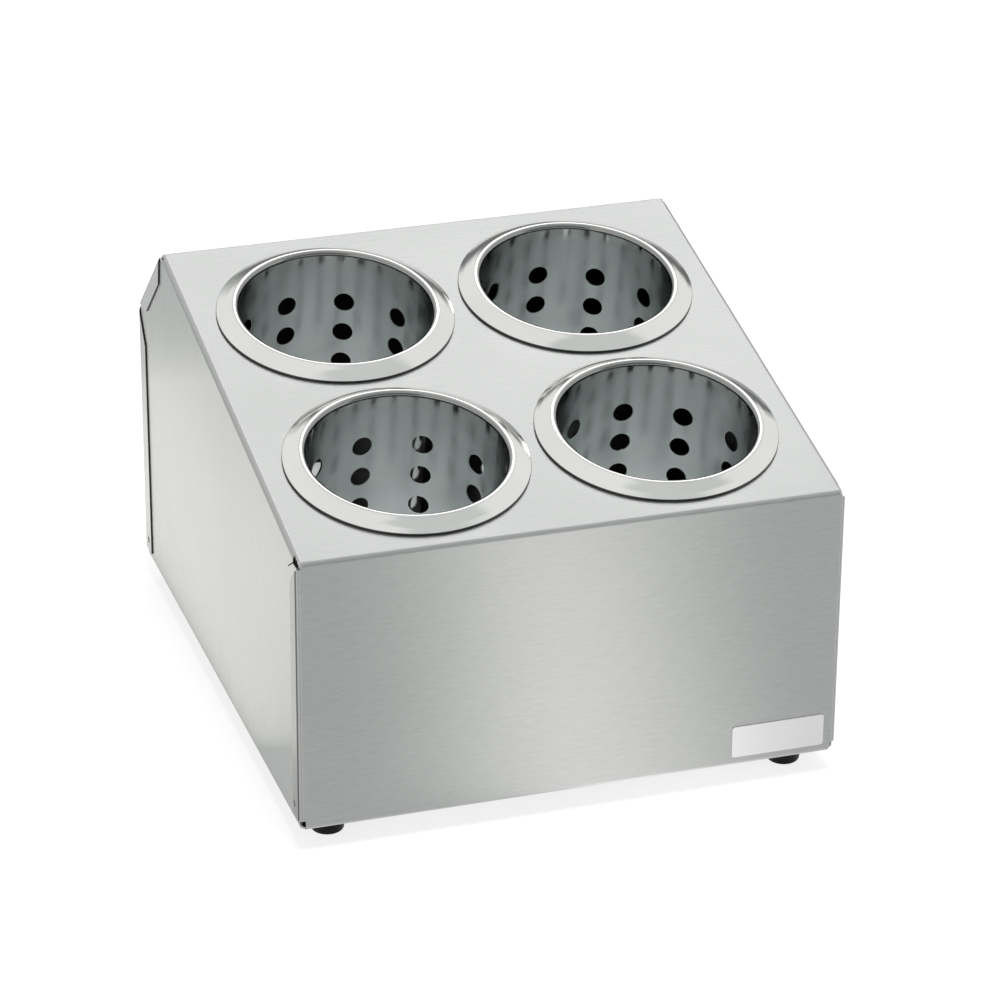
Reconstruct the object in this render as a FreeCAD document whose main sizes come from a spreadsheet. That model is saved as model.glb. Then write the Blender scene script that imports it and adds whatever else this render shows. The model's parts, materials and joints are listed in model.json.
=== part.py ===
import FreeCAD, Part
import math
import operator
import os

import Sketcher

# Countertop cutlery dispenser: a folded steel housing whose sloping top carries four lift-out cups,
# on four screwed rubber feet. Millimetres; X to the right, Y to the back, Z up, and the origin on
# the table under the middle of the housing.

# Driving sizes: name, value, and what it measures.
SIZES = (
    ("side_margin", "13.75", "brim to the side of the housing"),
    ("front_margin", "8.2", "brim to the front fold, along the slope"),
    ("ridge_margin", "11.32", "brim to the highest fold, along the slope"),
    ("brim_gap", "7", "brim to brim"),
    ("cup_rise", "27", "housing's lower edge to the middle of a front cup's bottom"),
    ("ridge_rise", "52", "front fold up to the highest fold"),
    ("ridge_setback", "51.6", "back face to the highest fold"),
    ("chamfer_fall", "48", "highest fold down to the foot of the chamfer"),
    ("housing_sheet", "1", "sheet of the housing"),
    ("bend_radius", "2.4", "outer radius of every fold"),
    ("tab_rise", "5.4", "housing's lower edge to the lower end of a side tab"),
    ("front_tab_width", "11", "side tab of the front"),
    ("front_tab_drop", "2.2", "top of the front to the tip of its side tab"),
    ("front_tab_mitre", "45", "degrees between the tab's mitre and the level"),
    ("rear_tab_width", "13", "side tab of the back"),
    ("rear_tab_drop", "1.5", "foot of the chamfer to the tip of the back's side tab"),
    ("rear_tab_mitre", "54", "degrees between the tab's mitre and the level"),
    ("chamfer_tab_width", "10.4", "side tab of the chamfer"),
    ("chamfer_tab_gap", "2", "fold to the end of the chamfer's side tab"),
    ("chamfer_tab_mitre", "13.5", "run of each mitred end of that tab along the chamfer"),
    ("relief_width", "1.3", "notch beside the ends of the front and ridge folds"),
    ("front_relief_reach", "8", "notch's reach up the slope from the front"),
    ("ridge_relief_reach", "3.5", "notch's reach each way from the ridge"),
    ("front_relief_drop", "3", "depth of the front notch"),
    ("ridge_relief_drop", "3.5", "depth of the ridge notch"),
    ("slit_width", "0.6", "thin slit that runs down from the front notch"),
    ("slit_length", "15", "length of that slit"),
    ("slit_angle", "33.6", "degrees that the slit falls below the level"),
    ("corner_notch", "1.6", "radius of the relief notch below each fold of the side tabs"),
    ("weld_radius", "1.7", "dimple of a spot weld"),
    ("weld_depth", "0.3", "depth of that dimple"),
    ("weld_inset", "8", "front or back face to the spot weld"),
    ("weld_rise", "11.65", "housing's lower edge to the spot weld"),
    ("end_flange", "30", "bottom flange of the front and the back"),
    ("side_flange", "15", "bottom flange of each side"),
    ("flange_seam", "0.6", "seam between two bottom flanges"),
    ("opening_radius", "3", "corner of the opening between the bottom flanges"),
    ("cup_hole_clearance", "1", "gap between a cup and the edge of its hole"),
    ("cup_bore", "48.75", "inner radius of a cup"),
    ("cup_sheet", "0.8", "sheet of a cup"),
    ("cup_height", "137", "crest of the brim to the underside of the bottom"),
    ("cup_base_radius", "8", "outer radius of the round between wall and bottom"),
    ("brim_width", "11.25", "bore to the brim's edge"),
    ("brim_outer_width", "4", "crease, where the brim's slope changes, to the brim's edge"),
    ("brim_inner_angle", "24.5", "degrees of fall inside that crease"),
    ("brim_outer_angle", "32.5", "degrees of fall outside it"),
    ("brim_crown", "24", "radius of the round over that crease"),
    ("brim_edge_round", "0.3", "round on the brim's edge"),
    ("lip_radius", "2.4", "radius of the lip between brim and bore"),
    ("seat_gap", "0.25", "running gap between a brim and the top"),
    ("drain_radius", "5.25", "radius of each hole in a cup"),
    ("drain_first_row", "24.5", "top of the housing to the first row of holes"),
    ("drain_last_row", "33.2", "last row of holes to the underside of the bottom"),
    ("drain_ring_inset", "21.75", "bore to the ring of holes in the bottom"),
    ("foot_height", "11.6", "rubber foot"),
    ("foot_top_radius", "9.9", "rubber foot at the housing"),
    ("foot_tread_radius", "7.9", "rubber foot at the table"),
    ("foot_round", "1.6", "round on the foot's lower edge"),
    ("foot_inset_side", "19.35", "side of the housing to a foot's axis"),
    ("foot_inset_end", "20", "front or back face to a foot's axis"),
    ("foot_counterbore", "4.7", "radius of the recess for the screw's head"),
    ("foot_web", "3", "rubber between that recess and the housing"),
    ("screw_radius", "2", "screw shank"),
    ("screw_length", "10", "screw under its head"),
    ("screw_head_radius", "3.9", "pan head"),
    ("screw_head_height", "2.6", "pan head"),
    ("screw_head_round", "1.4", "round of the pan head"),
    ("screw_tip_chamfer", "0.5", "chamfer on the screw's tip"),
    ("recess_span", "4.2", "length of the cross recess"),
    ("recess_slot", "0.9", "width of the cross recess"),
    ("recess_depth", "1.3", "depth of the cross recess"),
    ("screw_clearance", "0.2", "gap around the screw in each hole"),
    ("thread_clearance", "0.05", "gap between the plain thread of screw and nut"),
    ("washer_radius", "4.5", "washer"),
    ("washer_thickness", "0.8", "washer"),
    ("nut_flats", "7", "nut across its flats"),
    ("nut_height", "3.2", "nut"),
    ("nut_chamfer", "30", "degrees of the chamfer on the nut's corners"),
    ("plate_width", "48", "blank plate on the front"),
    ("plate_height", "17", "blank plate"),
    ("plate_thickness", "0.4", "blank plate"),
    ("plate_corner", "1.6", "corner radius of the blank plate"),
    ("plate_edge", "0.15", "round on the plate's front edge"),
    ("plate_side_margin", "6.7", "right side of the housing to the plate"),
    ("plate_foot_margin", "4.75", "housing's lower edge to the plate"),
    ("overrun", "2", "how far a cut runs past what it cuts"),
)

# Counts, and the way each cup happens to be turned in its hole, in degrees.
FULL_TURN = 360
HOLE_ROWS = 5
HOLE_COLUMNS = 10
BOTTOM_HOLES = 6
NUT_SIDES = 6
CUP_TURNS = {
    "cup_front_left": 8.8,
    "cup_front_right": -1.8,
    "cup_rear_left": 14.0,
    "cup_rear_right": 3.0,
}

OPERATIONS = {"+": operator.add, "-": operator.sub, "*": operator.mul, "/": operator.truediv}


class Size:
    """A number together with the expression that gives it, so that a feature can be bound to it."""

    def __init__(self, number, text):
        self.number = number
        self.text = text

    def __add__(self, other):
        return combine("+", self, other)

    def __radd__(self, other):
        return combine("+", other, self)

    def __sub__(self, other):
        return combine("-", self, other)

    def __rsub__(self, other):
        return combine("-", other, self)

    def __mul__(self, other):
        return combine("*", self, other)

    def __rmul__(self, other):
        return combine("*", other, self)

    def __truediv__(self, other):
        return combine("/", self, other)

    def __rtruediv__(self, other):
        return combine("/", other, self)

    def __neg__(self):
        return Size(-self.number, "(-%s)" % self.text)


def as_size(value):
    return value if isinstance(value, Size) else Size(float(value), repr(value))


def combine(sign, left, right):
    left = as_size(left)
    right = as_size(right)
    number = OPERATIONS[sign](left.number, right.number)
    return Size(number, "(%s %s %s)" % (left.text, sign, right.text))


def sine(angle):
    return Size(math.sin(math.radians(angle.number)), "sin(%s)" % angle.text)


def cosine(angle):
    return Size(math.cos(math.radians(angle.number)), "cos(%s)" % angle.text)


def tangent(angle):
    return Size(math.tan(math.radians(angle.number)), "tan(%s)" % angle.text)


def arc_sine(ratio):
    return Size(math.degrees(math.asin(ratio.number)), "asin(%s)" % ratio.text)


def arc_tangent(ratio):
    return Size(math.degrees(math.atan(ratio.number)), "atan(%s)" % ratio.text)


def vector_text(x, y, z):
    return "vector(%s; %s; %s)" % tuple(as_size(value).text for value in (x, y, z))


def placement_text(x, y, z, axis=(0, 0, 1), turn=0):
    turned = "rotation(%s; %s)" % (vector_text(*axis), as_size(turn).text)
    return "placement(%s; %s)" % (vector_text(x, y, z), turned)


doc = FreeCAD.newDocument("cutlery_dispenser")
sheet = doc.addObject("Spreadsheet::Sheet", "dims")
for row, (alias, number, meaning) in enumerate(SIZES, start=1):
    sheet.set("A%d" % row, alias)
    sheet.set("B%d" % row, number)
    sheet.set("C%d" % row, meaning)
    sheet.setAlias("B%d" % row, alias)
doc.recompute()


class Dimensions:
    """The sheet's sizes by name, each bound to its cell."""


dim = Dimensions()
for alias, number, meaning in SIZES:
    setattr(dim, alias, Size(float(sheet.get(alias)), "dims." + alias))


def derive(alias, size, meaning):
    """Keep a size that follows from others in the sheet, as a formula."""
    row = len(vars(dim)) + 1
    sheet.set("A%d" % row, alias)
    sheet.set("B%d" % row, "=" + size.text.replace("dims.", ""))
    sheet.set("C%d" % row, meaning)
    sheet.setAlias("B%d" % row, alias)
    setattr(dim, alias, Size(size.number, "dims." + alias))


# The cups' sizes that follow from the driving ones. Heights are above the top's outer face.
derive("brim_radius", dim.cup_bore + dim.brim_width, "outer radius of the brim")
derive("crease_radius", dim.brim_radius - dim.brim_outer_width, "where the brim's slope changes")
edge_height = dim.seat_gap + dim.cup_sheet / cosine(dim.brim_outer_angle)
crease_height = edge_height + dim.brim_outer_width * tangent(dim.brim_outer_angle)
lip_run = dim.crease_radius - dim.cup_bore - dim.lip_radius
lip_rise = dim.lip_radius - dim.lip_radius / cosine(dim.brim_inner_angle)
crest_height = crease_height + lip_run * tangent(dim.brim_inner_angle) + lip_rise
derive("cup_drop", dim.cup_height - crest_height, "top of the housing to the underside of a cup")
drain_rows = dim.cup_drop - dim.drain_first_row - dim.drain_last_row
derive("drain_pitch", drain_rows / (HOLE_ROWS - 1), "row to row")

# The housing is made to fit the cups.
derive("cup_pitch", dim.brim_radius * 2 + dim.brim_gap, "cup to cup, across and along the slope")
derive("cup_first_row", dim.front_margin + dim.brim_radius, "front fold to the first row of cups")
cup_last_row = dim.cup_first_row + dim.cup_pitch
slope_length = cup_last_row + dim.brim_radius + dim.ridge_margin
derive("slope_angle", arc_sine(dim.ridge_rise / slope_length), "degrees that the top slopes")
slope_depth = slope_length * cosine(dim.slope_angle)
derive("housing_depth", slope_depth + dim.ridge_setback, "front face to back face")
first_row_rise = dim.cup_first_row * sine(dim.slope_angle)
front_height = dim.cup_rise + dim.cup_drop * cosine(dim.slope_angle) - first_row_rise
derive("front_height", front_height, "housing's lower edge to the front of the top")
derive("ridge_height", dim.front_height + dim.ridge_rise, "housing's lower edge to the highest fold")
derive("chamfer_height", dim.ridge_height - dim.chamfer_fall, "lower edge to the chamfer's foot")
housing_width = dim.cup_pitch + (dim.brim_radius + dim.side_margin) * 2
derive("housing_width", housing_width, "across the lapped side tabs")
doc.recompute()

# Places that several pieces share. Heights are above the housing's lower edge.
half_width = dim.housing_width / 2
half_depth = dim.housing_depth / 2
wall_plane = half_width - dim.housing_sheet
ridge_y = half_depth - dim.ridge_setback
slope_angle = dim.slope_angle
slope_gradient = tangent(slope_angle)
chamfer_gradient = dim.chamfer_fall / dim.ridge_setback
chamfer_angle = arc_tangent(chamfer_gradient)
chamfer_length = dim.ridge_setback / cosine(chamfer_angle)
cup_outer = dim.cup_bore + dim.cup_sheet
foot_x = half_width - dim.foot_inset_side
foot_y = half_depth - dim.foot_inset_end
recess_top = dim.foot_height - dim.foot_web
washer_seat = recess_top - dim.washer_thickness
screw_hole = dim.screw_radius + dim.screw_clearance


def origin_part(body, role):
    """One of a body's own origin planes or axes, such as XY_Plane or Z_Axis."""
    for feature in body.Origin.OriginFeatures:
        if feature.Role == role:
            return feature
    raise ValueError("the body has no " + role)


def set_size(thing, name, size):
    setattr(thing, name, size.number)
    thing.setExpression(name, size.text)


def new_body(label, placed=None):
    body = doc.addObject("PartDesign::Body", label)
    body.Label = label
    if placed:
        body.setExpression("Placement", placed)
    return body


def twin(source, label, placed):
    """Another body of the same shape as one that is already made, at a place of its own."""
    body = new_body(label, placed)
    copy = body.newObject("PartDesign::FeatureBase", label + "_shape")
    copy.BaseFeature = source
    body.Tip = copy
    return body


def new_sketch(body, name, role, offset=None):
    """An empty sketch on one of the body's origin planes, moved by an offset in that plane's axes."""
    sketch = body.newObject("Sketcher::SketchObject", name)
    sketch.AttachmentSupport = [(origin_part(body, role), "")]
    sketch.MapMode = "FlatFace"
    if offset:
        sketch.setExpression("AttachmentOffset", offset)
    return sketch


def pin_point(sketch, geometry, point, place):
    """Hold a point of the sketch at a place given by two sizes."""
    for kind, size in zip(("DistanceX", "DistanceY"), place):
        size = as_size(size)
        index = sketch.addConstraint(Sketcher.Constraint(kind, -1, 1, geometry, point, size.number))
        if size.text != "0":
            sketch.setExpression("Constraints[%d]" % index, size.text)


def polygon(sketch, corners):
    corners = [(as_size(x), as_size(y)) for x, y in corners]
    points = [FreeCAD.Vector(x.number, y.number, 0) for x, y in corners]
    first = sketch.GeometryCount
    for start, end in zip(points, points[1:] + points[:1]):
        sketch.addGeometry(Part.LineSegment(start, end), False)
    for index in range(len(points)):
        following = (index + 1) % len(points)
        joint = Sketcher.Constraint("Coincident", first + index, 2, first + following, 1)
        sketch.addConstraint(joint)
        pin_point(sketch, first + index, 1, corners[index])


def rectangle(sketch, low, high):
    polygon(sketch, [low, (high[0], low[1]), high, (low[0], high[1])])


def circle(sketch, x, y, radius):
    centre = FreeCAD.Vector(as_size(x).number, as_size(y).number, 0)
    upwards = FreeCAD.Vector(0, 0, 1)
    index = sketch.addGeometry(Part.Circle(centre, upwards, radius.number), False)
    pin_point(sketch, index, 3, (x, y))
    constraint = sketch.addConstraint(Sketcher.Constraint("Radius", index, radius.number))
    sketch.setExpression("Constraints[%d]" % constraint, radius.text)


def checked(feature, cuts):
    """Recompute, and stop if the feature failed or didn't add to or cut from the solid."""
    doc.recompute()
    if "Invalid" in feature.State or "Error" in feature.State or not feature.Shape.isValid():
        raise RuntimeError(feature.Name + " failed")
    before = feature.BaseFeature.Shape.Volume if feature.BaseFeature else 0
    change = feature.Shape.Volume - before
    if cuts and change >= 0 or not cuts and change <= 0:
        raise RuntimeError("%s changes the volume by %g" % (feature.Name, change))
    return feature


def extruded(kind, body, name, sketch, length, side="One side", reverse=False):
    feature = body.newObject("PartDesign::" + kind, name)
    feature.Profile = sketch
    feature.SideType = side
    set_size(feature, "Length", length)
    feature.Reversed = reverse
    return checked(feature, kind == "Pocket")


def revolved(kind, body, name, sketch):
    """A full turn about the sketch's own vertical axis."""
    feature = body.newObject("PartDesign::" + kind, name)
    feature.Profile = sketch
    feature.ReferenceAxis = (sketch, ["V_Axis"])
    feature.Angle = FULL_TURN
    return checked(feature, kind == "Groove")


def mirrored(body, name, original):
    """The same on the other side of the body's own YZ plane."""
    feature = body.newObject("PartDesign::Mirrored", name)
    feature.Originals = [original]
    feature.MirrorPlane = (origin_part(body, "YZ_Plane"), [""])
    body.Tip = feature
    return checked(feature, original.TypeId == "PartDesign::Pocket")


def polar(body, name, original, count):
    """The same, repeated round the body's own Z axis."""
    feature = body.newObject("PartDesign::PolarPattern", name)
    feature.Originals = [original]
    feature.Axis = (origin_part(body, "Z_Axis"), [""])
    feature.Angle = FULL_TURN
    feature.Occurrences = count
    body.Tip = feature
    return checked(feature, original.TypeId == "PartDesign::Pocket")


def rounded(body, name, wanted, radius, count):
    """Fillet the edges that pass a test, and stop if there aren't as many as expected."""
    base = body.Tip
    names = [
        "Edge%d" % number
        for number, edge in enumerate(base.Shape.Edges, start=1)
        if wanted(edge)
    ]
    if len(names) != count:
        raise RuntimeError("%s of %s finds %d edges" % (name, body.Label, len(names)))
    feature = body.newObject("PartDesign::Fillet", name)
    feature.Base = (base, names)
    set_size(feature, "Radius", radius)
    doc.recompute()
    if "Invalid" in feature.State or not feature.Shape.isValid():
        raise RuntimeError("%s of %s failed" % (name, body.Label))


def close_to(value, size):
    """Whether a measured length is a size, to within a small share of the sheet's thickness."""
    tolerance_share = 0.02
    return abs(value - as_size(size).number) < tolerance_share * dim.cup_sheet.number


def middle(edge):
    return edge.valueAt((edge.FirstParameter + edge.LastParameter) / 2)


def ring_at(radius, height):
    """A test for a round edge about the Z axis, of a radius and at a height."""
    def wanted(edge):
        if not isinstance(edge.Curve, Part.Circle):
            return False
        return close_to(edge.Curve.Radius, radius) and close_to(edge.Curve.Center.z, height)
    return wanted


def slope_point(y):
    return dim.front_height + (y + half_depth) * slope_gradient


def chamfer_point(run, inset):
    """A side view's point at a run down the chamfer from the ridge, and an inset from it."""
    y = ridge_y + run * cosine(chamfer_angle) - inset * sine(chamfer_angle)
    z = dim.ridge_height - run * sine(chamfer_angle) - inset * cosine(chamfer_angle)
    return y, z


# The housing: one folded sheet. The top runs into the side walls, and the side tabs of the front,
# the chamfer and the back lap over the outside of those walls.

def housing_block(body):
    outline = new_sketch(body, "side_outline", "YZ_Plane")
    polygon(outline, [
        (-half_depth, 0),
        (half_depth, 0),
        (half_depth, dim.chamfer_height),
        (ridge_y, dim.ridge_height),
        (-half_depth, dim.front_height),
    ])
    extruded("Pad", body, "block", outline, wall_plane * 2, "Symmetric")
    rounded(body, "outer_folds", lambda edge: True, dim.bend_radius, 15)


def side_tab(body, name, corners):
    """A tab that laps over the side wall, with enough depth to merge with the corner behind it."""
    outline = new_sketch(body, name + "_outline", "YZ_Plane", placement_text(0, 0, half_width))
    polygon(outline, corners)
    depth = dim.housing_sheet + dim.bend_radius
    tab = extruded("Pad", body, name, outline, depth, reverse=True)
    mirrored(body, name + "_pair", tab)


def front_tabs(body):
    inner = dim.front_tab_width - half_depth
    tip = dim.front_height - dim.front_tab_drop
    mitre_foot = tip - dim.front_tab_width * tangent(dim.front_tab_mitre)
    side_tab(body, "front_tab", [
        (-half_depth, dim.tab_rise),
        (inner, dim.tab_rise),
        (inner, mitre_foot),
        (-half_depth, tip),
    ])


def rear_tabs(body):
    inner = half_depth - dim.rear_tab_width
    tip = dim.chamfer_height - dim.rear_tab_drop
    mitre_foot = tip - dim.rear_tab_width * tangent(dim.rear_tab_mitre)
    side_tab(body, "rear_tab", [
        (half_depth, dim.tab_rise),
        (half_depth, tip),
        (inner, mitre_foot),
        (inner, dim.tab_rise),
    ])


def chamfer_tabs(body):
    start = dim.chamfer_tab_gap
    end = chamfer_length - dim.chamfer_tab_gap
    side_tab(body, "chamfer_tab", [
        chamfer_point(start, 0),
        chamfer_point(end, 0),
        chamfer_point(end - dim.chamfer_tab_mitre, dim.chamfer_tab_width),
        chamfer_point(start + dim.chamfer_tab_mitre, dim.chamfer_tab_width),
    ])


def tab_folds(body):
    """Round the outer corner of each tab: the edges that lie in both outer side planes."""
    def wanted(edge):
        point = middle(edge)
        if not close_to(abs(point.x), half_width) or edge.Length < dim.tab_rise.number:
            return False
        run = (point.y - ridge_y.number) * math.cos(math.radians(chamfer_angle.number))
        fall = (dim.ridge_height.number - point.z) * math.sin(math.radians(chamfer_angle.number))
        on_chamfer = chamfer_point(as_size(run + fall), 0)
        return (
            close_to(abs(point.y), half_depth)
            or close_to(point.y, on_chamfer[0]) and close_to(point.z, on_chamfer[1])
        )
    rounded(body, "tab_folds", wanted, dim.bend_radius, 6)


def housing_hollow(body):
    """Take out the inside, so that one sheet is left, or two where a tab laps."""
    wall = dim.housing_sheet
    top_drop = wall / cosine(slope_angle)
    chamfer_drop = wall / cosine(chamfer_angle)
    ridge_shift = (top_drop - chamfer_drop) / (slope_gradient + chamfer_gradient)
    inside = new_body("housing_inside")
    outline = new_sketch(inside, "inside_outline", "YZ_Plane")
    polygon(outline, [
        (wall - half_depth, wall),
        (half_depth - wall, wall),
        (half_depth - wall, dim.chamfer_height + wall * chamfer_gradient - chamfer_drop),
        (ridge_y + ridge_shift, dim.ridge_height + ridge_shift * slope_gradient - top_drop),
        (wall - half_depth, dim.front_height + wall * slope_gradient - top_drop),
    ])
    extruded("Pad", inside, "inside_block", outline, (wall_plane - wall) * 2, "Symmetric")
    rounded(inside, "inside_folds", lambda edge: True, dim.bend_radius - wall, 15)
    hollow = body.newObject("PartDesign::Boolean", "hollow")
    hollow.Type = "Cut"
    hollow.setObjects([inside])
    checked(hollow, True)


def bottom_opening(body):
    """The opening between the bottom flanges."""
    opening_x = half_width - dim.side_flange
    opening_y = half_depth - dim.end_flange
    outline = new_sketch(body, "opening_outline", "XY_Plane", placement_text(0, 0, -dim.overrun))
    rectangle(outline, (-opening_x, -opening_y), (opening_x, opening_y))
    depth = dim.overrun + dim.housing_sheet + dim.overrun
    extruded("Pocket", body, "opening", outline, depth, reverse=True)

    def corner(edge):
        point = middle(edge)
        return close_to(abs(point.x), opening_x) and close_to(abs(point.y), opening_y)
    rounded(body, "opening_corners", corner, dim.opening_radius, 4)


def bottom_cuts(body):
    """Seams where two flanges meet, and the screw holes."""
    outline = new_sketch(body, "bottom_cut_outline", "XY_Plane", placement_text(0, 0, -dim.overrun))
    seam_start = half_width - dim.side_flange - dim.overrun
    seam_end = wall_plane - dim.bend_radius
    seam_low = half_depth - dim.end_flange - dim.opening_radius - dim.flange_seam
    for side in (-1, 1):
        for end in (-1, 1):
            rectangle(outline, (side * seam_start, end * seam_low),
                      (side * seam_end, end * (seam_low + dim.flange_seam)))
    for name, x, y in foot_places():
        circle(outline, x, y, screw_hole)
    depth = dim.overrun + dim.bend_radius
    extruded("Pocket", body, "bottom_cuts", outline, depth, reverse=True)


def corner_notches(body):
    """The notch in each corner between the bottom and the lower end of the side tab."""
    outline = new_sketch(body, "notch_outline", "XY_Plane", placement_text(0, 0, -dim.overrun))
    inset = dim.bend_radius / 2
    for side in (-1, 1):
        for end in (-1, 1):
            circle(outline, side * (wall_plane - inset), end * (half_depth - inset),
                   dim.corner_notch)
    depth = dim.overrun + dim.tab_rise
    extruded("Pocket", body, "corner_notches", outline, depth, reverse=True)


def cup_places():
    """Name and place of each cup: across, and along the slope from the front fold."""
    for row, along in (("front", dim.cup_first_row), ("rear", cup_last_row)):
        for side, across in (("left", -dim.cup_pitch / 2), ("right", dim.cup_pitch / 2)):
            yield "cup_%s_%s" % (row, side), across, along


def cup_holes(body):
    slope = placement_text(0, -half_depth, dim.front_height, (1, 0, 0), slope_angle)
    outline = new_sketch(body, "cup_hole_outline", "XY_Plane", slope)
    for name, across, along in cup_places():
        circle(outline, across, along, cup_outer + dim.cup_hole_clearance)
    extruded("Pocket", body, "cup_holes", outline, dim.housing_sheet + dim.overrun)


def fold_reliefs(body):
    """The notches beside the ends of the front fold and of the ridge, on both sides."""
    outer_x = wall_plane - dim.housing_sheet / 2 + dim.relief_width / 2
    outline = new_sketch(body, "relief_outline", "YZ_Plane", placement_text(0, 0, outer_x))
    front_y = dim.front_relief_reach - half_depth
    rectangle(outline, (-half_depth - dim.overrun, dim.front_height - dim.front_relief_drop),
              (front_y, slope_point(front_y) + dim.overrun))
    rectangle(outline, (ridge_y - dim.ridge_relief_reach, dim.ridge_height - dim.ridge_relief_drop),
              (ridge_y + dim.ridge_relief_reach, dim.ridge_height + dim.overrun))
    cut = extruded("Pocket", body, "relief", outline, dim.relief_width)
    mirrored(body, "relief_pair", cut)


def front_slits(body):
    """The thin slit through each side wall that falls away from the front notch."""
    along = (cosine(dim.slit_angle), -sine(dim.slit_angle))
    across = (sine(dim.slit_angle), cosine(dim.slit_angle))
    start_y = dim.front_relief_reach / 2 - half_depth
    start = (start_y, slope_point(start_y) - dim.housing_sheet)
    end = tuple(place + dim.slit_length * part for place, part in zip(start, along))
    beyond = [
        tuple(place + dim.slit_width * part for place, part in zip(point, across))
        for point in (end, start)
    ]
    outline = new_sketch(body, "slit_outline", "YZ_Plane")
    polygon(outline, [start, end] + beyond)
    extruded("Pocket", body, "slits", outline, dim.housing_width, "Symmetric")


def spot_welds(body):
    """A shallow dimple near the foot of each side tab."""
    outline = new_sketch(body, "weld_outline", "YZ_Plane", placement_text(0, 0, half_width))
    for end in (-1, 1):
        circle(outline, end * (half_depth - dim.weld_inset), dim.weld_rise, dim.weld_radius)
    cut = extruded("Pocket", body, "spot_weld", outline, dim.weld_depth)
    mirrored(body, "spot_weld_pair", cut)


def foot_places():
    for row, end in (("front", -1), ("rear", 1)):
        for side, sign in (("left", -1), ("right", 1)):
            yield row + "_" + side, sign * foot_x, end * foot_y


def housing_shell():
    body = new_body("housing_shell", placement_text(0, 0, dim.foot_height))
    housing_block(body)
    front_tabs(body)
    rear_tabs(body)
    chamfer_tabs(body)
    tab_folds(body)
    housing_hollow(body)
    bottom_opening(body)
    bottom_cuts(body)
    corner_notches(body)
    cup_holes(body)
    fold_reliefs(body)
    front_slits(body)
    spot_welds(body)
    return body


# A cup: a deep-drawn bowl that hangs by its brim. Its own origin is on the axis, level with the
# outer face of the sloping top.

def cup_section():
    """The brim's and the bottom's places in the cup's section, as radius and height."""
    wall = dim.cup_sheet
    inner = dim.brim_inner_angle
    outer = dim.brim_outer_angle
    apex = crease_height + (dim.crease_radius - dim.cup_bore) * tangent(inner)
    shift = wall * (1 / cosine(outer) - 1 / cosine(inner)) / (tangent(outer) - tangent(inner))
    under_crease = (
        dim.crease_radius - shift,
        crease_height + shift * tangent(outer) - wall / cosine(outer),
    )
    neck = crease_height + (dim.crease_radius - cup_outer) * tangent(inner) - wall / cosine(inner)
    return {
        "base_centre": (0, -dim.cup_drop),
        "base": (cup_outer, -dim.cup_drop),
        "neck": (cup_outer, neck),
        "under_crease": under_crease,
        "under_edge": (dim.brim_radius, dim.seat_gap),
        "edge": (dim.brim_radius, edge_height),
        "crease": (dim.crease_radius, crease_height),
        "apex": (dim.cup_bore, apex),
        "floor": (dim.cup_bore, wall - dim.cup_drop),
        "floor_centre": (0, wall - dim.cup_drop),
    }


def cup_placed(label, across, along):
    slope = placement_text(0, -half_depth, dim.foot_height + dim.front_height, (1, 0, 0), slope_angle)
    return slope + " * " + placement_text(across, along, 0, (0, 0, 1), CUP_TURNS[label])


def cup(label, placed):
    body = new_body(label, placed)
    section = cup_section()
    outline = new_sketch(body, label + "_section", "XZ_Plane")
    polygon(outline, list(section.values()))
    revolved("Revolution", body, label + "_drawn", outline)
    rounds = (
        ("base", dim.cup_base_radius),
        ("floor", dim.cup_base_radius - dim.cup_sheet),
        ("neck", dim.lip_radius - dim.cup_sheet),
        ("apex", dim.lip_radius),
        ("crease", dim.brim_crown),
        ("under_crease", dim.brim_crown - dim.cup_sheet),
        ("edge", dim.brim_edge_round),
    )
    for corner, radius in rounds:
        name = "%s_%s_round" % (label, corner)
        rounded(body, name, ring_at(*section[corner]), radius, 1)
    wall_holes(body, label)
    bottom_holes(body, label)
    return body


def wall_holes(body, label):
    column = new_sketch(body, label + "_hole_column", "XZ_Plane")
    for row in range(HOLE_ROWS):
        circle(column, 0, -(dim.drain_first_row + row * dim.drain_pitch), dim.drain_radius)
    cut = extruded("Pocket", body, label + "_wall_hole", column, cup_outer + dim.overrun)
    polar(body, label + "_wall_holes", cut, HOLE_COLUMNS)


def bottom_holes(body, label):
    lifted = placement_text(0, 0, -dim.cup_drop - dim.overrun)
    depth = dim.overrun + dim.cup_sheet + dim.overrun
    centre = new_sketch(body, label + "_centre_outline", "XY_Plane", lifted)
    circle(centre, 0, 0, dim.drain_radius)
    extruded("Pocket", body, label + "_centre_hole", centre, depth, reverse=True)
    ring = new_sketch(body, label + "_ring_outline", "XY_Plane", lifted)
    circle(ring, dim.cup_bore - dim.drain_ring_inset, 0, dim.drain_radius)
    cut = extruded("Pocket", body, label + "_ring_hole", ring, depth, reverse=True)
    polar(body, label + "_ring_holes", cut, BOTTOM_HOLES)


# A foot: rubber, with a recess from below for the washer and the screw's head. The screw goes up
# through the bottom flange into its nut.

def turned_piece(label, placed, corners):
    """A body of revolution about its own Z axis, from its section's corners."""
    body = new_body(label, placed)
    outline = new_sketch(body, label + "_section", "XZ_Plane")
    polygon(outline, corners)
    revolved("Revolution", body, label + "_turned", outline)
    return body


def rubber_foot(label, placed):
    body = turned_piece(label, placed, [
        (dim.foot_counterbore, 0),
        (dim.foot_tread_radius, 0),
        (dim.foot_top_radius, dim.foot_height),
        (screw_hole, dim.foot_height),
        (screw_hole, recess_top),
        (dim.foot_counterbore, recess_top),
    ])
    rounded(body, label + "_round", ring_at(dim.foot_tread_radius, 0), dim.foot_round, 1)
    return body


def foot_washer(label, placed):
    return turned_piece(label, placed, [
        (screw_hole, 0),
        (dim.washer_radius, 0),
        (dim.washer_radius, dim.washer_thickness),
        (screw_hole, dim.washer_thickness),
    ])


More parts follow.
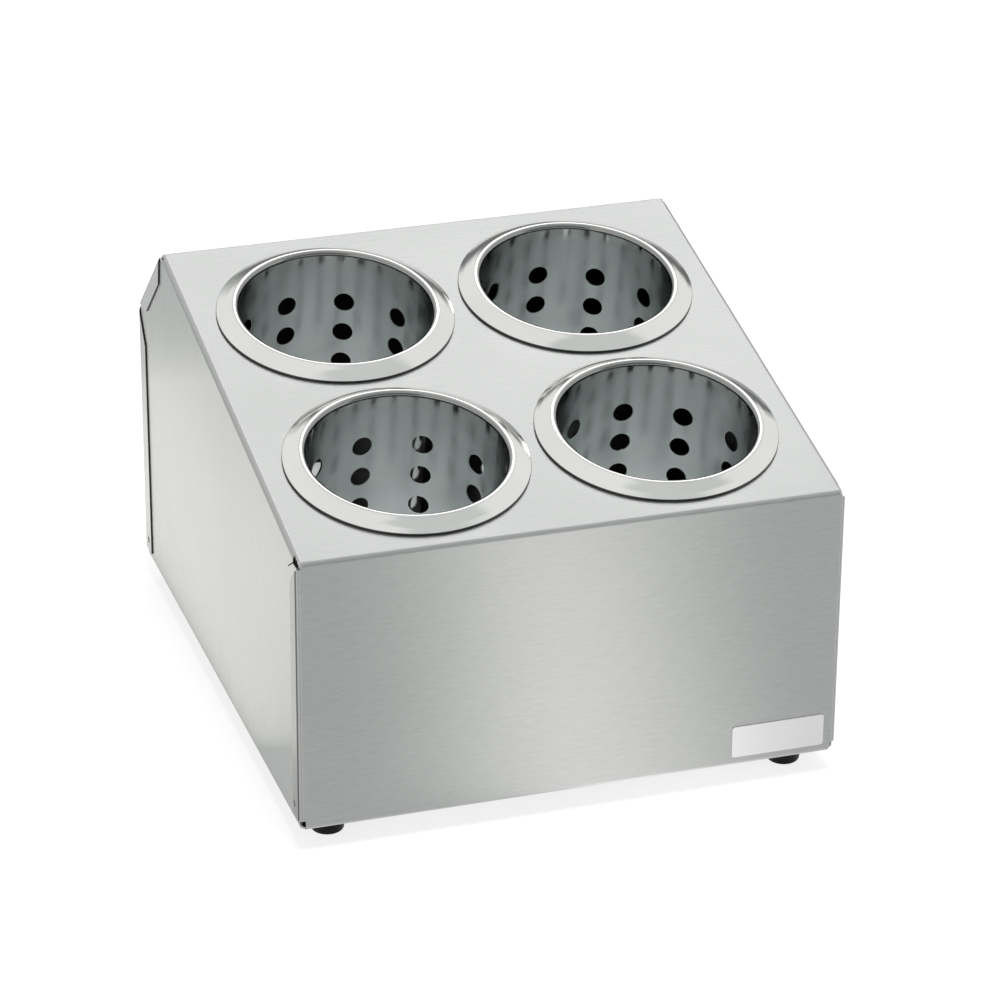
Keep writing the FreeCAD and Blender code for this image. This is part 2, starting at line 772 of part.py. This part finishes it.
def foot_screw(label, placed):
    """A pan-head screw whose own origin is the crown of its head; the head is at the bottom."""
    head = dim.screw_head_height
    tip = head + dim.screw_length
    body = turned_piece(label, placed, [
        (0, 0),
        (dim.screw_head_radius, 0),
        (dim.screw_head_radius, head),
        (dim.screw_radius, head),
        (dim.screw_radius, tip - dim.screw_tip_chamfer),
        (dim.screw_radius - dim.screw_tip_chamfer, tip),
        (0, tip),
    ])
    crown = ring_at(dim.screw_head_radius, 0)
    rounded(body, label + "_crown", crown, dim.screw_head_round, 1)
    recess = new_sketch(body, label + "_recess_outline", "XY_Plane")
    half_span = dim.recess_span / 2
    half_slot = dim.recess_slot / 2
    quarter = [(half_span, -half_slot), (half_span, half_slot), (half_slot, half_slot)]
    corners = []
    for x_sign, y_sign, swapped in ((1, 1, False), (-1, 1, True), (-1, -1, False), (1, -1, True)):
        for along, sideways in quarter:
            if swapped:
                corners.append((x_sign * sideways, y_sign * along))
            else:
                corners.append((x_sign * along, y_sign * sideways))
    polygon(recess, corners)
    extruded("Pocket", body, label + "_recess", recess, dim.recess_depth, reverse=True)
    return body


def foot_nut(label, placed):
    """A hexagon nut with chamfered corners."""
    body = new_body(label, placed)
    outline = new_sketch(body, label + "_outline", "XY_Plane")
    side_turn = as_size(FULL_TURN / NUT_SIDES)
    corner_radius = dim.nut_flats / 2 / cosine(side_turn / 2)
    polygon(outline, [
        (corner_radius * cosine(side_turn * number), corner_radius * sine(side_turn * number))
        for number in range(NUT_SIDES)
    ])
    extruded("Pad", body, label + "_hexagon", outline, dim.nut_height)
    bore = new_sketch(body, label + "_bore_outline", "XY_Plane")
    circle(bore, 0, 0, dim.screw_radius + dim.thread_clearance)
    extruded("Pocket", body, label + "_bore", bore, dim.nut_height, reverse=True)
    chamfer = new_sketch(body, label + "_chamfer_outline", "XZ_Plane")
    reach = corner_radius + dim.nut_height
    drop = (reach - dim.nut_flats / 2) * tangent(dim.nut_chamfer)
    polygon(chamfer, [(dim.nut_flats / 2, 0), (reach, 0), (reach, drop)])
    polygon(chamfer, [
        (dim.nut_flats / 2, dim.nut_height),
        (reach, dim.nut_height - drop),
        (reach, dim.nut_height),
    ])
    revolved("Groove", body, label + "_chamfers", chamfer)
    return body


def label_plate():
    """The blank plate, stuck flat on the front, low on the right."""
    x = half_width - dim.plate_side_margin - dim.plate_width / 2
    z = dim.foot_height + dim.plate_foot_margin + dim.plate_height / 2
    body = new_body("label_plate", placement_text(x, -half_depth, z))
    outline = new_sketch(body, "plate_outline", "XZ_Plane")
    half_long = dim.plate_width / 2
    half_tall = dim.plate_height / 2
    rectangle(outline, (-half_long, -half_tall), (half_long, half_tall))
    extruded("Pad", body, "plate", outline, dim.plate_thickness)

    def corner(edge):
        point = middle(edge)
        return close_to(abs(point.x), half_long) and close_to(abs(point.z), half_tall)
    rounded(body, "plate_corners", corner, dim.plate_corner, 4)

    def front(edge):
        return close_to(middle(edge).y, -dim.plate_thickness)
    rounded(body, "plate_edges", front, dim.plate_edge, 8)
    return body


# The assembly: the pieces of a kind are twins of the first of them.
nodes = [housing_shell(), label_plate()]

first_cup = None
for label, across, along in cup_places():
    placed = cup_placed(label, across, along)
    if first_cup:
        nodes.append(twin(first_cup, label, placed))
    else:
        first_cup = cup(label, placed)
        nodes.append(first_cup)

FOOT_PIECES = (
    ("foot_", rubber_foot, as_size(0)),
    ("foot_washer_", foot_washer, washer_seat),
    ("foot_screw_", foot_screw, washer_seat - dim.screw_head_height),
    ("foot_nut_", foot_nut, dim.foot_height + dim.housing_sheet),
)
for kind, make, height in FOOT_PIECES:
    first = None
    for place, x, y in foot_places():
        placed = placement_text(x, y, height)
        if first:
            nodes.append(twin(first, kind + place, placed))
        else:
            first = make(kind + place, placed)
            nodes.append(first)
doc.recompute()

for thing in doc.Objects:
    if "Invalid" in thing.State or "Error" in thing.State:
        raise RuntimeError("%s is %s" % (thing.Name, thing.State))
for node in nodes:
    if node.Shape.isNull() or not node.Shape.isValid() or len(node.Shape.Solids) != 1:
        raise RuntimeError("%s isn't one valid solid" % node.Label)

os.makedirs("parts", exist_ok=True)
for node in nodes:
    node.Shape.exportStep("parts/%s.step" % node.Label)
    box = node.Shape.BoundBox
    print("%-26s %9.1f mm3  x %7.2f %7.2f  y %7.2f %7.2f  z %7.2f %7.2f" % (
        node.Label, node.Shape.Volume, box.XMin, box.XMax, box.YMin, box.YMax, box.ZMin, box.ZMax))
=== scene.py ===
import json
import math

import bpy
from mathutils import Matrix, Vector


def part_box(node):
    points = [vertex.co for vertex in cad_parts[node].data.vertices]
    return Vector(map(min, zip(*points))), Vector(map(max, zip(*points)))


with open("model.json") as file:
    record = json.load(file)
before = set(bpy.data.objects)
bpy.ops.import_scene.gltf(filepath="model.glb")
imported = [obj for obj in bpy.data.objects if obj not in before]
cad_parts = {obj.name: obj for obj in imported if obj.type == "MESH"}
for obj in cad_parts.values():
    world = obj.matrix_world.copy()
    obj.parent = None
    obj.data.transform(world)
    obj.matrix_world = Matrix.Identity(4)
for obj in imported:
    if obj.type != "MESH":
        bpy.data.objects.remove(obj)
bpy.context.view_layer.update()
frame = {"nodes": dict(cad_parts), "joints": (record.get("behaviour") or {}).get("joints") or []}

# Cutlery dispenser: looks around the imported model. Metres; X to the right, Y to the back, Z up.

# Camera, at the photograph's place.
CAMERA_PLACE = (-0.58754, -1.85133, 1.03316)
CAMERA_TURN = (64.2491, -0.4171, -17.7649)
CAMERA_LENS = 152.49
SENSOR_WIDTH = 36.0

PLACES = ("front_left", "front_right", "rear_left", "rear_right")

# Sizes of the cups that the materials follow.
BRIM_WIDTH = 0.01125
CUP_SHEET = 0.0008
LIP_RADIUS = 0.0024
BOTTOM_BEND = 0.012

# Heights, from the top's plane, between which the brim's tone turns into that of the inside.
INSIDE_FADE = (-0.004, 0.001)

# The lip's crest and its inner side, as depths under the lip's top and distances out from the bore.
CREST_DEPTHS = (0.0008, 0.0022)
CREST_REACH = (0.0022, 0.0038)
INNER_SIDE_REACH = (0.0008, 0.0018)

# Places along Y between which the shade on the housing's tabs fades out.
TAB_FADE = (-0.15, 0.13)

# Small margins that tell one face from the next.
TAB_MARGIN = 0.0005
BORE_MARGIN = 0.0001
SHEET_MARGIN = 0.00015
BRIM_EDGE_MARGIN = 0.0002

# How far the X or Z part of a face's normal has to reach for what the face is taken for.
SIDE_WALL = 0.7
FLAT_SIDE_WALL = 0.9995
NO_SIDE_TURN = 0.01

# What noise reaches nearly everywhere, the narrower reach of the ground steel's tone, and how much
# of that tone is its fine grain.
NOISE_RANGE = (0.3, 0.7)
TONE_RANGE = (0.35, 0.65)
FINE_SHARE = 0.35

# Colours of the brushed housing.
STEEL_DARK = (0.347, 0.36, 0.349, 1)
STEEL_LIGHT = (0.409, 0.423, 0.411, 1)
# Painted highlight on the folds beside and in front of the top.
FOLD_HIGHLIGHT = (0.6, 0.605, 0.6, 1)
SHADED_TAB = (0.14, 0.143, 0.14, 1)
# Painted shade along the upright folds.
FOLD_SHADE_LINE = (0.05, 0.05, 0.048, 1)
# Painted shade for the sheet's inner face and the tabs' edges.
HOUSING_INSIDE_SHADE = (0.04, 0.042, 0.042, 1)

# Colours of the cups. Each pair is the dark and the light end of a cloudy tone.
CUP_BRIM = ((0.70, 0.70, 0.68, 1), (0.75, 0.75, 0.73, 1))
CUP_INSIDE = ((0.70, 0.73, 0.725, 1), (0.74, 0.77, 0.765, 1))
CUP_FLOOR = ((0.78, 0.8, 0.8, 1), (0.84, 0.86, 0.86, 1))
# The outside is dull, and also painted darker as shade inside the housing.
CUP_OUTSIDE_SHADED = ((0.3, 0.305, 0.3, 1), (0.35, 0.355, 0.35, 1))
# Painted dark reflection along the lip's crest.
LIP_CREST_REFLECTION = (0.42, 0.425, 0.41, 1)
# Painted shade on the lip's inner side.
LIP_INSIDE_SHADE = (0.16, 0.17, 0.165, 1)
# Painted shade on the cut edges of the brim and of the holes.
CUT_EDGE_SHADE = (0.1, 0.1, 0.1, 1)

# The other pieces' colours, as the dark and the light end of the grain.
RUBBER = ((0.005, 0.006, 0.006, 1), (0.01, 0.0115, 0.0115, 1))
ZINC = ((0.5, 0.51, 0.52, 1), (0.62, 0.63, 0.64, 1))
PLATE = ((0.58, 0.585, 0.58, 1), (0.65, 0.655, 0.65, 1))

# The studio. The floor's dark patch lies under the housing, and fades out between two half sizes.
WHITE = (1, 1, 1, 1)
FLOOR_PAINT = (0.28, 0.28, 0.28, 1)
CARD_TINT = (0.97, 1.0, 0.99, 1)
FLOOR_REACH = 12.0
FLOOR_GLOW = 0.8
PATCH_MIDDLE_X = 0.006
PATCH_MIDDLE_Y = 0.012
PATCH_HALF_X = (0.124, 0.136)
PATCH_HALF_Y = (0.132, 0.146)
WORLD_LIGHT = 0.45
CARD_FADE_START = 0.75
STRIP_SLANT = math.atan(0.289)


# Places worked out from the frame.

def extent(direction, *names):
    """How far some nodes reach down and up along a direction."""
    reach = [direction.dot(corner.co) for name in names for corner in frame["nodes"][name].data.vertices]
    return min(reach), max(reach)


def middle(limits):
    return (limits[0] + limits[1]) / 2


# The cups stand square to the sloping top and lift straight off it.
LIFT = Vector(frame["joints"][0]["axis"])
UPHILL = Vector((0.0, LIFT.z, -LIFT.y))
ACROSS = Vector((1.0, 0.0, 0.0))
TOP_HEIGHT = extent(LIFT, "housing_shell")[1]
HOUSING_MIDDLE = sum(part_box("housing_shell"), Vector()) / 2
HOUSING_HALF_X = (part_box("housing_shell")[1] - HOUSING_MIDDLE).x
FRONT_CUPS = middle(extent(UPHILL, "cup_front_left"))
REAR_CUPS = middle(extent(UPHILL, "cup_rear_left"))
CUPS_MIDDLE = (FRONT_CUPS + REAR_CUPS) / 2
HALF_PITCH = (REAR_CUPS - FRONT_CUPS) / 2
BRIM_RADIUS = extent(ACROSS, "cup_front_right")[1] - middle(extent(ACROSS, "cup_front_right"))
BORE_RADIUS = BRIM_RADIUS - BRIM_WIDTH
CUP_BOTTOM = extent(LIFT, "cup_front_left")[0] - extent(LIFT, "cup_front_left")[1]
LIP_TOP = extent(LIFT, "cup_rear_left")[1] - TOP_HEIGHT


# Node helpers.

def new_material(name):
    material = bpy.data.materials.new(name)
    material.use_nodes = True
    tree = material.node_tree
    return material, tree, tree.nodes["Principled BSDF"]


def add_node(tree, kind, settings=None, inputs=None):
    """A node with its settings, and with inputs that are either values or another node's output."""
    node = tree.nodes.new(kind)
    for key, value in (settings or {}).items():
        setattr(node, key, value)
    for key, value in (inputs or {}).items():
        if isinstance(value, bpy.types.NodeSocket):
            tree.links.new(value, node.inputs[key])
        else:
            node.inputs[key].default_value = value
    return node


def maths(tree, operation, first, second=0.0):
    return add_node(tree, "ShaderNodeMath", {"operation": operation}, {0: first, 1: second}).outputs[0]


def plus(tree, first, second):
    return maths(tree, "ADD", first, second)


def minus(tree, first, second):
    return maths(tree, "SUBTRACT", first, second)


def times(tree, first, second):
    return maths(tree, "MULTIPLY", first, second)


def larger(tree, first, second):
    return maths(tree, "MAXIMUM", first, second)


def is_above(tree, value, limit):
    return maths(tree, "GREATER_THAN", value, limit)


def is_below(tree, value, limit):
    return maths(tree, "LESS_THAN", value, limit)


def magnitude(tree, value):
    return maths(tree, "ABSOLUTE", value)


def vector_maths(tree, operation, first, second):
    return add_node(tree, "ShaderNodeVectorMath", {"operation": operation}, {0: first, 1: second}).outputs


def dotted(tree, first, second):
    return vector_maths(tree, "DOT_PRODUCT", first, second)["Value"]


def split(tree, vector):
    return add_node(tree, "ShaderNodeSeparateXYZ", {}, {0: vector}).outputs


def spread(tree, value, low, high, to_low, to_high):
    """A value's range mapped to another range, and held inside it."""
    return add_node(tree, "ShaderNodeMapRange", {}, {
        "Value": value, "From Min": low, "From Max": high, "To Min": to_low, "To Max": to_high,
    }).outputs["Result"]


def band(tree, value, centre, reach):
    """1 where a value is at a centre, falling to 0 at a reach from it."""
    return spread(tree, magnitude(tree, minus(tree, value, centre)), 0.0, reach, 1.0, 0.0)


def object_place(tree):
    return add_node(tree, "ShaderNodeTexCoord").outputs["Object"]


def noise(tree, place, scale, detail):
    return add_node(tree, "ShaderNodeTexNoise", {}, {
        "Vector": place, "Scale": scale, "Detail": detail,
    }).outputs["Fac"]


def varied(tree, grain, low, high):
    """Noise mapped to a range of values."""
    return spread(tree, grain, *NOISE_RANGE, low, high)


def streaks(tree, place, stretch, scale, detail):
    """Noise drawn out by a stretch along each axis."""
    drawn = vector_maths(tree, "MULTIPLY", place, stretch)[0]
    return add_node(tree, "ShaderNodeTexNoise", {}, {
        "Vector": drawn, "Scale": scale, "Detail": detail, "Roughness": 0.6,
    }).outputs["Fac"]


def blended(tree, factor, first, second):
    node = add_node(tree, "ShaderNodeMix", {"data_type": "RGBA"}, {0: factor, 6: first, 7: second})
    return node.outputs[2]


def blended_number(tree, factor, first, second):
    node = add_node(tree, "ShaderNodeMix", {"data_type": "FLOAT"}, {0: factor, 2: first, 3: second})
    return node.outputs[0]


def blended_vector(tree, factor, first, second):
    node = add_node(tree, "ShaderNodeMix", {"data_type": "VECTOR"}, {0: factor, 4: first, 5: second})
    return node.outputs[1]


def bumped(tree, height, strength, distance):
    return add_node(tree, "ShaderNodeBump", {}, {
        "Height": height, "Strength": strength, "Distance": distance,
    }).outputs["Normal"]


# Materials.

def brushed_steel(name):
    """The folded sheet: ground along X on the top, the front and the back, and so along Z where the
    top runs down into the side walls. The tabs that lap over those walls are ground along Y."""
    material, tree, shader = new_material(name)
    place = object_place(tree)
    normal = add_node(tree, "ShaderNodeNewGeometry").outputs["Normal"]
    across = magnitude(tree, split(tree, normal)[0])
    upward = magnitude(tree, split(tree, normal)[2])
    out_x = magnitude(tree, split(tree, place)[0])
    sideways = is_above(tree, across, SIDE_WALL)
    on_tab = times(tree, sideways, is_above(tree, out_x, HOUSING_HALF_X - TAB_MARGIN))

    def ground(scale, detail, run):
        level = streaks(tree, place, (run, 1, 1), scale, detail)
        upright = streaks(tree, place, (1, 1, run), scale, detail)
        lengthwise = streaks(tree, place, (1, run, 1), scale, detail)
        walls = blended_number(tree, sideways, level, upright)
        return blended_number(tree, on_tab, walls, lengthwise)

    fine = ground(scale=2400, detail=2.0, run=0.08)
    coarse = ground(scale=620, detail=3.0, run=0.17)
    cloud = noise(tree, place, scale=9.0, detail=3.0)
    tone = plus(tree, times(tree, fine, FINE_SHARE), times(tree, coarse, 1 - FINE_SHARE))
    colour = blended(tree, spread(tree, tone, *TONE_RANGE, 0, 1), STEEL_DARK, STEEL_LIGHT)

    # Painted shade: two thin dark lines along each upright fold. Painted highlight: the folds beside
    # and in front of the top are lighter.
    upright_fold = spread(tree, upward, 0.1, 0.3, 1.0, 0.0)
    first_line = times(tree, band(tree, across, 0.93, 0.14), is_below(tree, across, FLAT_SIDE_WALL))
    second_line = times(tree, band(tree, across, 0.38, 0.16), 0.35)
    fold_shade_lines = times(tree, upright_fold, larger(tree, first_line, second_line))
    towards_top = times(
        tree, spread(tree, across, 0.1, 0.95, 1.0, 0.0), is_above(tree, across, NO_SIDE_TURN))
    side_fold = times(tree, minus(tree, 1.0, upright_fold), towards_top)
    front_fold = times(tree, band(tree, upward, 0.55, 0.4), is_below(tree, across, NO_SIDE_TURN))
    # Painted highlight: these folds are blended towards a lighter colour.
    fold_highlight = larger(tree, times(tree, side_fold, 0.8), times(tree, front_fold, 0.6))
    colour = blended(tree, fold_highlight, colour, FOLD_HIGHLIGHT)

    # The tabs are a little darker towards the front.
    tab_shade = times(tree, on_tab, spread(tree, split(tree, place)[1], *TAB_FADE, 0.6, 0.0))
    colour = blended(tree, tab_shade, colour, SHADED_TAB)
    colour = blended(tree, fold_shade_lines, colour, FOLD_SHADE_LINE)

    # Painted shade: the inner face of the sheet, and the tabs' edges, are painted dark.
    from_middle = vector_maths(tree, "SUBTRACT", place, HOUSING_MIDDLE)[0]
    inner_face = is_below(tree, dotted(tree, normal, from_middle), 0.0)
    colour = blended(tree, inner_face, colour, HOUSING_INSIDE_SHADE)
    tree.links.new(colour, shader.inputs["Base Color"])

    rough = plus(tree, varied(tree, tone, 0.27, 0.33), varied(tree, cloud, -0.01, 0.01))
    tree.links.new(rough, shader.inputs["Roughness"])
    shader.inputs["Metallic"].default_value = 1.0
    shader.inputs["Anisotropic"].default_value = 1.0
    shader.inputs["Anisotropic Rotation"].default_value = 0.25
    along = vector_maths(tree, "CROSS_PRODUCT", (0, 1, 0), normal)[0]
    grain = vector_maths(tree, "ADD", along, (0.1, 0, 0))[0]
    grain = blended_vector(tree, on_tab, grain, (0, 1, 0))
    tree.links.new(grain, shader.inputs["Tangent"])
    tree.links.new(bumped(tree, tone, 0.12, 0.00006), shader.inputs["Normal"])
    return material


def polished_steel(name):
    """Deep-drawn and polished, with the faint waves that the drawing leaves. It is cream white on the
    brim, cooler inside, satin on the bottom, and dull and painted darker as shade outside. The cut
    edges carry painted shade, the lip's crest a painted dark reflection and its inner side painted shade."""
    material, tree, shader = new_material(name)
    place = object_place(tree)
    height = minus(tree, dotted(tree, place, LIFT), TOP_HEIGHT)
    along = minus(tree, dotted(tree, place, UPHILL), CUPS_MIDDLE)
    run_y = minus(tree, magnitude(tree, along), HALF_PITCH)
    run_x = minus(tree, magnitude(tree, split(tree, place)[0]), HALF_PITCH)
    radius = maths(tree, "SQRT", plus(tree, times(tree, run_x, run_x), times(tree, run_y, run_y)))
    under_top = is_below(tree, height, 0.0)
    within = is_below(tree, radius, BORE_RADIUS + BORE_MARGIN)
    beyond = is_above(tree, radius, BORE_RADIUS + CUP_SHEET - SHEET_MARGIN)
    inside = times(tree, spread(tree, height, *INSIDE_FADE, 1.0, 0.0), within)
    bottom = times(tree, is_below(tree, height, CUP_BOTTOM + BOTTOM_BEND), within)
    outside = times(tree, under_top, beyond)
    hole_edge = times(tree, under_top, minus(tree, 1.0, larger(tree, within, beyond)))
    cut_edge = larger(tree, hole_edge, is_above(tree, radius, BRIM_RADIUS - BRIM_EDGE_MARGIN))
    cloud = noise(tree, place, scale=22.0, detail=3.0)
    clouded = varied(tree, cloud, 0, 1)
    colour = blended(tree, inside, blended(tree, clouded, *CUP_BRIM), blended(tree, clouded, *CUP_INSIDE))
    colour = blended(tree, bottom, colour, blended(tree, clouded, *CUP_FLOOR))
    # Painted shade: the cups' outside, within the housing, is darker.
    colour = blended(tree, outside, colour, blended(tree, clouded, *CUP_OUTSIDE_SHADED))
    from_bore = minus(tree, radius, BORE_RADIUS)
    under_lip = minus(tree, LIP_TOP, height)
    # Painted dark reflection: the lip's crest is darker, which narrows its highlight.
    crest = times(
        tree, spread(tree, under_lip, *CREST_DEPTHS, 1.0, 0.0),
        spread(tree, from_bore, *CREST_REACH, 1.0, 0.0))
    colour = blended(tree, crest, colour, LIP_CREST_REFLECTION)
    # Painted shade: the lip's inner side is darker.
    lip_inside = times(
        tree, is_below(tree, under_lip, LIP_RADIUS), spread(tree, from_bore, *INNER_SIDE_REACH, 0.65, 0.0))
    colour = blended(tree, lip_inside, colour, LIP_INSIDE_SHADE)
    # Painted shade: the cut edges of the brim and of the holes are dark.
    colour = blended(tree, cut_edge, colour, CUT_EDGE_SHADE)
    tree.links.new(colour, shader.inputs["Base Color"])
    gloss = blended_number(
        tree, inside, varied(tree, cloud, 0.08, 0.13), varied(tree, cloud, 0.18, 0.22))
    gloss = blended_number(tree, bottom, gloss, 0.5)
    tree.links.new(blended_number(tree, outside, gloss, 0.38), shader.inputs["Roughness"])
    tree.links.new(blended_number(tree, bottom, 1.0, 0.3), shader.inputs["Metallic"])
    wave = noise(tree, place, scale=60.0, detail=1.0)
    tree.links.new(bumped(tree, wave, 0.1, 0.0008), shader.inputs["Normal"])
    return material


def black_rubber(name):
    material, tree, shader = new_material(name)
    grain = noise(tree, object_place(tree), scale=900.0, detail=4.0)
    tree.links.new(blended(tree, grain, *RUBBER), shader.inputs["Base Color"])
    tree.links.new(varied(tree, grain, 0.34, 0.46), shader.inputs["Roughness"])
    shader.inputs["Specular IOR Level"].default_value = 0.12
    tree.links.new(bumped(tree, grain, 0.15, 0.0002), shader.inputs["Normal"])
    return material


def zinc_steel(name):
    material, tree, shader = new_material(name)
    grain = noise(tree, object_place(tree), scale=500.0, detail=3.0)
    tree.links.new(blended(tree, grain, *ZINC), shader.inputs["Base Color"])
    tree.links.new(varied(tree, grain, 0.26, 0.4), shader.inputs["Roughness"])
    shader.inputs["Metallic"].default_value = 1.0
    return material


def plate_aluminium(name):
    """The blank plate: satin silver, ground along X."""
    material, tree, shader = new_material(name)
    grain = streaks(tree, object_place(tree), (0.03, 1, 1), scale=2400, detail=2.0)
    tree.links.new(blended(tree, grain, *PLATE), shader.inputs["Base Color"])
    tree.links.new(varied(tree, grain, 0.34, 0.44), shader.inputs["Roughness"])
    shader.inputs["Metallic"].default_value = 0.85
    tree.links.new(bumped(tree, grain, 0.08, 0.00005), shader.inputs["Normal"])
    return material


def dress(material, *names):
    for name in names:
        mesh = frame["nodes"][name].data
        mesh.materials.clear()
        mesh.materials.append(material)


dress(brushed_steel("housing_brushed"), "housing_shell")
dress(polished_steel("cup_polished"), *["cup_" + place for place in PLACES])
dress(black_rubber("foot_rubber"), *["foot_" + place for place in PLACES])
dress(zinc_steel("fastener_zinc"), *[
    kind + place for kind in ("foot_washer_", "foot_screw_", "foot_nut_") for place in PLACES])
dress(plate_aluminium("plate_satin"), "label_plate")


# The studio.

def added(name, data):
    """A new object in the scene."""
    thing = bpy.data.objects.new(name, data)
    bpy.context.scene.collection.objects.link(thing)
    return thing


def face(thing, place, aim):
    """Puts a lamp or a card at a place, turned to a point."""
    thing.location = place
    direction = Vector(aim) - Vector(place)
    thing.rotation_euler = direction.to_track_quat("-Z", "Y").to_euler()


def flat_sheet(name, half_wide, half_tall):
    """A rectangle with a material whose nodes are still to be made."""
    mesh = bpy.data.meshes.new(name)
    mesh.from_pydata([
        (-half_wide, -half_tall, 0), (half_wide, -half_tall, 0),
        (half_wide, half_tall, 0), (-half_wide, half_tall, 0)], [], [(0, 1, 2, 3)])
    material = bpy.data.materials.new(name)
    material.use_nodes = True
    material.node_tree.nodes.clear()
    mesh.materials.append(material)
    return added(name, mesh), material.node_tree


def seen_directly(tree):
    """1 for the camera's rays and for what metal and glass show, 0 for light on other surfaces."""
    light_path = add_node(tree, "ShaderNodeLightPath").outputs
    seen = larger(tree, light_path["Is Camera Ray"], light_path["Is Glossy Ray"])
    return larger(tree, seen, light_path["Is Transmission Ray"])


def make_floor():
    """A pale floor that glows where it is seen directly. None of that light comes from the patch
    under the housing, so that the housing's inside stays dark."""
    floor, tree = flat_sheet("studio_floor", FLOOR_REACH, FLOOR_REACH)
    paint = add_node(tree, "ShaderNodeBsdfDiffuse", {}, {"Color": FLOOR_PAINT})
    place = object_place(tree)
    aside = magnitude(tree, minus(tree, split(tree, place)[0], PATCH_MIDDLE_X))
    onward = magnitude(tree, minus(tree, split(tree, place)[1], PATCH_MIDDLE_Y))
    clear = larger(
        tree, spread(tree, aside, *PATCH_HALF_X, 0.0, 1.0), spread(tree, onward, *PATCH_HALF_Y, 0.0, 1.0))
    shown = times(tree, seen_directly(tree), clear)
    glow = add_node(tree, "ShaderNodeEmission", {}, {
        "Color": WHITE, "Strength": times(tree, shown, FLOOR_GLOW),
    })
    both = add_node(tree, "ShaderNodeAddShader", {}, {0: paint.outputs[0], 1: glow.outputs[0]})
    add_node(tree, "ShaderNodeOutputMaterial", {}, {"Surface": both.outputs[0]})


def make_world():
    world = bpy.data.worlds.new("studio")
    bpy.context.scene.world = world
    world.use_nodes = True
    tree = world.node_tree
    tree.nodes.clear()
    soft = add_node(tree, "ShaderNodeBackground", {}, {"Color": WHITE, "Strength": WORLD_LIGHT})
    white = add_node(tree, "ShaderNodeBackground", {}, {"Color": WHITE, "Strength": 1.0})
    mixed = add_node(tree, "ShaderNodeMixShader", {}, {
        0: seen_directly(tree), 1: soft.outputs[0], 2: white.outputs[0],
    })
    add_node(tree, "ShaderNodeOutputWorld", {}, {"Surface": mixed.outputs[0]})


def area_light(name, place, aim, size, power, colour=(1, 1, 1)):
    """A soft light: size is its width and height, and power is in watts."""
    light = bpy.data.lights.new(name, "AREA")
    light.color = colour
    light.shape = "RECTANGLE"
    light.size, light.size_y = size
    light.energy = power
    lamp = added(name, light)
    face(lamp, place, aim)
    lamp.visible_camera = False
    return lamp


def soft_edged(lamp):
    """Makes a lamp fade from full along its middle to nothing at its two long sides."""
    lamp.data.use_nodes = True
    tree = lamp.data.node_tree
    across = split(tree, add_node(tree, "ShaderNodeNewGeometry").outputs["Parametric"])[0]
    fade = add_node(tree, "ShaderNodeMapRange", {"interpolation_type": "SMOOTHSTEP"}, {
        "Value": magnitude(tree, minus(tree, across, 0.5)),
        "From Min": 0.0, "From Max": 0.5, "To Min": 1.0, "To Max": 0.0,
    }).outputs["Result"]
    tree.links.new(fade, tree.nodes["Emission"].inputs["Strength"])


def grey_card(name, place, aim, size, level):
    """A grey card that only shows in the metal, as a photographer sets it to give steel its contrast.
    It fades out to white at its edges."""
    half_wide, half_tall = size[0] / 2, size[1] / 2
    card, tree = flat_sheet(name, half_wide, half_tall)
    face(card, place, aim)
    on_card = split(tree, object_place(tree))
    aside = maths(tree, "DIVIDE", magnitude(tree, on_card[0]), half_wide)
    upward = maths(tree, "DIVIDE", magnitude(tree, on_card[1]), half_tall)
    shade = add_node(tree, "ShaderNodeEmission", {}, {
        "Color": CARD_TINT,
        "Strength": spread(tree, larger(tree, aside, upward), CARD_FADE_START, 1.0, level, 1.0),
    })
    add_node(tree, "ShaderNodeOutputMaterial", {}, {"Surface": shade.outputs[0]})
    card.visible_camera = False
    card.visible_diffuse = False
    card.visible_shadow = False


make_floor()
make_world()

# Two lamps from above: one from behind, and one that leaves no highlight in the metal.
area_light("softbox_top", place=(0.62, 1.45, 1.9), aim=(0, 0, 0.18), size=(1.1, 0.9), power=9.3,
           colour=(1, 0.965, 0.99))
fill = area_light("fill_top", place=(0, -0.45, 2.35), aim=(0, 0, 0.1), size=(0.8, 0.8), power=42)
fill.visible_glossy = False

# Two lamps on the floor that face up. The long one starts at the foot of the front and runs forward
# and to the right, where the front mirrors it as a soft upright highlight.
strip = area_light("strip_front", place=(0.155, -0.6565, 0.003), aim=(0.155, -0.6565, 1),
                   size=(0.25, 1.04), power=0.82, colour=(1, 0.95, 0.97))
strip.rotation_euler = (math.pi, 0, STRIP_SLANT)
soft_edged(strip)
area_light("panel_left", place=(-0.28, 0.17, 0.004), aim=(-0.28, 0.17, 1), size=(0.26, 0.46),
           power=0.255, colour=(1, 0.955, 0.88))

grey_card("card_behind", place=(0.27, 0.47, 0.14), aim=(0.27, 0, 0.14), size=(0.94, 0.5), level=0.2)
grey_card("card_front", place=(0.6, -2.6, 1.25), aim=(0.6, 0, 1.25), size=(4.5, 2.6), level=0.3)
grey_card("card_above", place=(0.35, -0.45, 1.6), aim=(0, 0, 0.17), size=(1.3, 1.0), level=0.75)

camera = bpy.data.cameras.new("camera")
camera.lens = CAMERA_LENS
camera.sensor_width = SENSOR_WIDTH
camera.sensor_fit = "HORIZONTAL"
eye = added("camera", camera)
eye.location = CAMERA_PLACE
eye.rotation_euler = [math.radians(angle) for angle in CAMERA_TURN]
bpy.context.scene.camera = eye
bpy.context.scene.view_settings.view_transform = "Standard"
